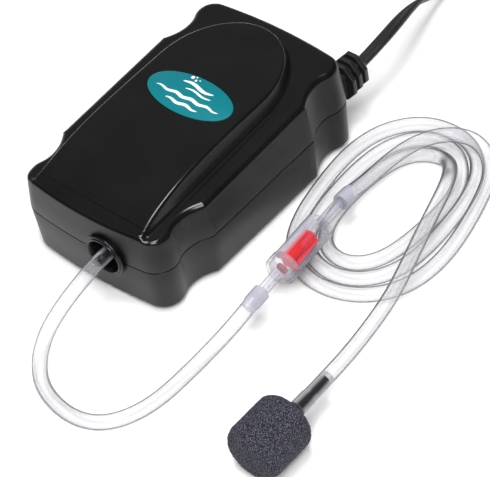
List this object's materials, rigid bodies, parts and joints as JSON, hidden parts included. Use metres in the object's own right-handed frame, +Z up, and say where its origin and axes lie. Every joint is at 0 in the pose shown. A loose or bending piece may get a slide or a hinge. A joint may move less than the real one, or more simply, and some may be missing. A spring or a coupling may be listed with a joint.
{
  "type": "aquarium air pump",
  "caption": "Small aquarium air pump with vibrating-armature mechanism, clear airline with inline check valve, air stone and mains lead.",
  "frame": {"origin": "under the middle of the pump, between the outlet nozzle's tip and the housing's back face, on the surface that the rubber feet stand on", "axes": "+Z up; +Y along the housing from the air outlet to the mains lead; +X across the housing, to the side where the airline lies"},
  "size_m": [0.1889, 0.3268, 0.0478],
  "materials": {
    "housing_lower": "glossy black",
    "housing_upper": "glossy black",
    "label": "satin printed teal",
    "feet": "matt black",
    "fasteners": "plain",
    "filter_cover": "matt black",
    "felt": "pressed felt",
    "collar": "glossy black",
    "nozzle": "dark",
    "strain_relief": "satin black",
    "mains_lead": "satin black",
    "cord_tie": "matt black",
    "plug": "satin black",
    "plug_blades": "plain",
    "airline": "clear and flexible",
    "valve_clear": "clear and hard",
    "valve_red": "translucent red",
    "stone": "rough and porous",
    "bracket": "matt",
    "core_steel": "laminated",
    "ivory_plastic": "matt",
    "copper": "enamelled wire",
    "lead_wire": "satin",
    "brass": "plain",
    "magnet": "ground ferrite",
    "rubber_seal": "matt"
  },
  "bodies": {
    "pump": {"lower_shell": "housing_lower", "upper_shell": "housing_upper", "label_badge": "label", "rubber_foot_1": "feet", "rubber_foot_2": "feet", "rubber_foot_3": "feet", "rubber_foot_4": "feet", "housing_screw_1": "fasteners", "housing_screw_2": "fasteners", "housing_screw_3": "fasteners", "housing_screw_4": "fasteners", "filter_cover": "filter_cover", "air_filter_felt": "felt", "outlet_collar": "collar", "outlet_nozzle": "nozzle", "strain_relief": "strain_relief", "mains_cord": "mains_lead", "mains_cord_coil": "mains_lead", "cord_tie": "cord_tie", "plug_lead": "mains_lead", "plug_body": "plug", "plug_blade_1": "plug_blades", "plug_blade_2": "plug_blades", "outlet_hose": "airline", "coil_lead": "airline", "hose_coil": "airline", "stone_hose": "airline", "valve_cap": "valve_clear", "valve_insert": "valve_red", "valve_body": "valve_clear", "air_stone": "stone", "stone_nozzle": "nozzle", "core_bracket": "bracket", "laminated_core": "core_steel", "core_screw_1": "fasteners", "core_screw_2": "fasteners", "coil_bobbin": "ivory_plastic", "copper_winding": "copper", "winding_lead_1": "lead_wire", "winding_lead_2": "lead_wire", "pivot_post": "fasteners", "pivot_clip": "fasteners", "chamber_block": "ivory_plastic", "chamber_gasket": "rubber_seal", "chamber_cover": "ivory_plastic", "chamber_screw_1": "fasteners", "chamber_screw_2": "fasteners", "diaphragm": "rubber_seal", "diaphragm_clamp": "ivory_plastic", "air_tube": "airline"},
    "armature": {"armature_arm": "core_steel", "drive_magnet": "magnet", "pivot_bush": "brass", "diaphragm_screw": "fasteners", "inner_washer": "fasteners", "outer_washer": "fasteners"},
    "inlet_valve_flap": {"inlet_flap": "rubber_seal"},
    "outlet_valve_flap": {"outlet_flap": "rubber_seal"},
    "check_valve_flap": {"valve_flap": "valve_red"}
  },
  "joints": [
    {"name": "armature_swing", "type": "hinge", "parent": "pump", "child": "armature", "pos_m": [0.002, -0.02535, 0.02], "axis": [0, 0, 1], "range_deg": [-1.8, 1.8], "stiffness_Nm_per_rad": 0.6, "deforming": ["diaphragm"]},
    {"name": "inlet_flap_bend", "type": "hinge", "parent": "pump", "child": "inlet_valve_flap", "pos_m": [-0.0167, -0.00775, 0.02], "axis": [0, 0, 1], "range_deg": [0, 20], "stiffness_Nm_per_rad": 0.0002},
    {"name": "outlet_flap_bend", "type": "hinge", "parent": "pump", "child": "outlet_valve_flap", "pos_m": [-0.0273, -0.01575, 0.02], "axis": [0, 0, -1], "range_deg": [0, 20], "stiffness_Nm_per_rad": 0.0002},
    {"name": "check_flap_lift", "type": "slide", "parent": "pump", "child": "check_valve_flap", "axis": [-0.0802, 0.9968, 0], "range_m": [0, 0.0015], "stiffness_N_per_m": 20}
  ]
}
